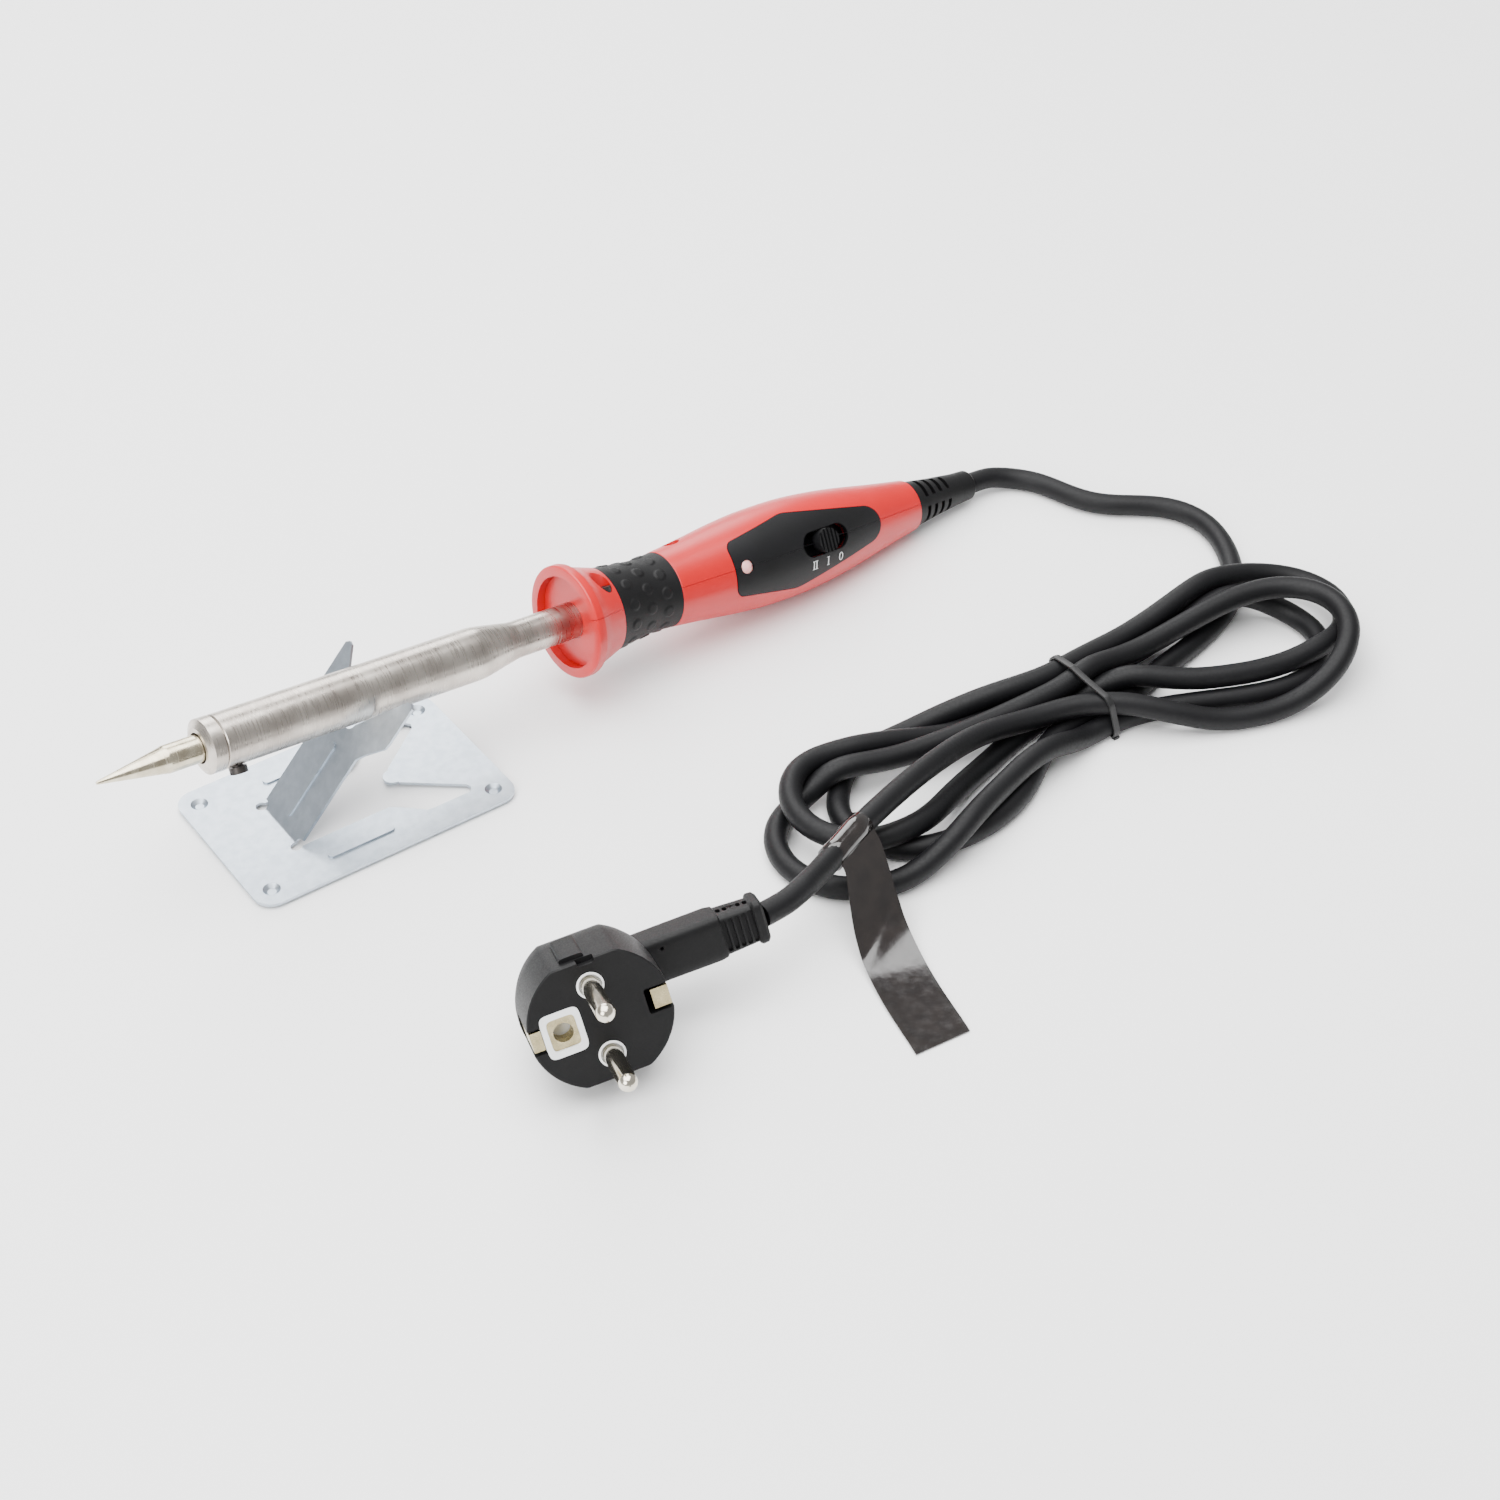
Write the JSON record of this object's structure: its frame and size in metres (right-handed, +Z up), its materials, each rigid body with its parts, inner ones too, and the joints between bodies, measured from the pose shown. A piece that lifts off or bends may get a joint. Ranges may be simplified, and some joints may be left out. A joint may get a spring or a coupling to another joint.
{
  "type": "soldering iron stand",
  "caption": "Bent sheet-metal stand holding a mains soldering iron in its notch, with a three-step heat switch, a tied cord and an earthed two-pin plug",
  "frame": {"origin": "under the middle of the stand and the iron together, on the table", "axes": "+Z up; +X along the stand from the bit to the handle; Y across the stand"},
  "size_m": [0.3501, 0.1921, 0.0485],
  "materials": {
    "zinc_sheet": "galvanised sheet, satin",
    "bit_metal": "nickel-plated, slightly yellow",
    "barrel_steel": "warm drawn steel",
    "inner_steel": "plain",
    "screw_steel": "dark plated",
    "ceramic_white": "matt",
    "heater_wire": "wound wire",
    "mica": "wrapped",
    "red_shell": "satin red",
    "black_rubber": "matt",
    "black_panel": "fine satin",
    "lens_pink": "clear pink",
    "lamp_glass": "glow lamp",
    "grey_plastic": "moulded",
    "white_plastic": "moulded white",
    "heater_sleeving": "braided sleeve",
    "earth_wire": "wire",
    "cord_rubber": "matt",
    "tie_wire": "covered wire",
    "tag_film": "glossy film",
    "plug_black": "moulded matt",
    "pin_nickel": "nickel-plated",
    "contact_metal": "plated contact"
  },
  "bodies": {
    "stand": {"stand_sheet": "zinc_sheet"},
    "iron": {"bit_collar": "barrel_steel", "bit_screw": "screw_steel", "barrel": "barrel_steel", "bit_sleeve": "inner_steel", "heater_former": "ceramic_white", "heater_coil": "heater_wire", "heater_wrap": "mica", "heater_bead": "ceramic_white", "front_disc": "red_shell", "tube_clamp": "inner_steel", "shell_upper": "red_shell", "shell_lower": "red_shell", "shell_screws": "screw_steel", "grip_sleeve": "black_rubber", "panel_upper": "black_panel", "panel_lower": "black_panel", "pilot_lens": "lens_pink", "pilot_lamp": "lamp_glass", "switch_body": "grey_plastic", "diode": "grey_plastic", "terminal_block": "white_plastic", "heater_leads": "heater_sleeving", "earth_lead": "earth_wire", "cord_clamp": "screw_steel", "clamp_screws": "screw_steel", "strain_relief": "black_rubber", "cord_inner": "cord_rubber", "cord_lead": "cord_rubber", "cord_hank": "cord_rubber", "cord_tie": "tie_wire", "cord_tail": "cord_rubber", "cord_tag": "tag_film", "plug_body": "plug_black", "plug_pins": "pin_nickel", "plug_collars": "white_plastic", "earth_contact": "contact_metal", "earth_clips": "contact_metal"},
    "bit": {"bit": "bit_metal"},
    "switch": {"switch_knob": "black_panel"}
  },
  "joints": [
    {"name": "iron_lift", "type": "slide", "parent": "stand", "child": "iron", "axis": [0, 0, 1], "range_m": [0, 0.08]},
    {"name": "bit_slide", "type": "slide", "parent": "iron", "child": "bit", "axis": [-0.9896, -0.0536, 0.1332], "range_m": [0, 0.045]},
    {"name": "heat_switch", "type": "slide", "parent": "iron", "child": "switch", "axis": [0.9896, 0.0536, -0.1332], "range_m": [-0.005, 0.005]}
  ]
}
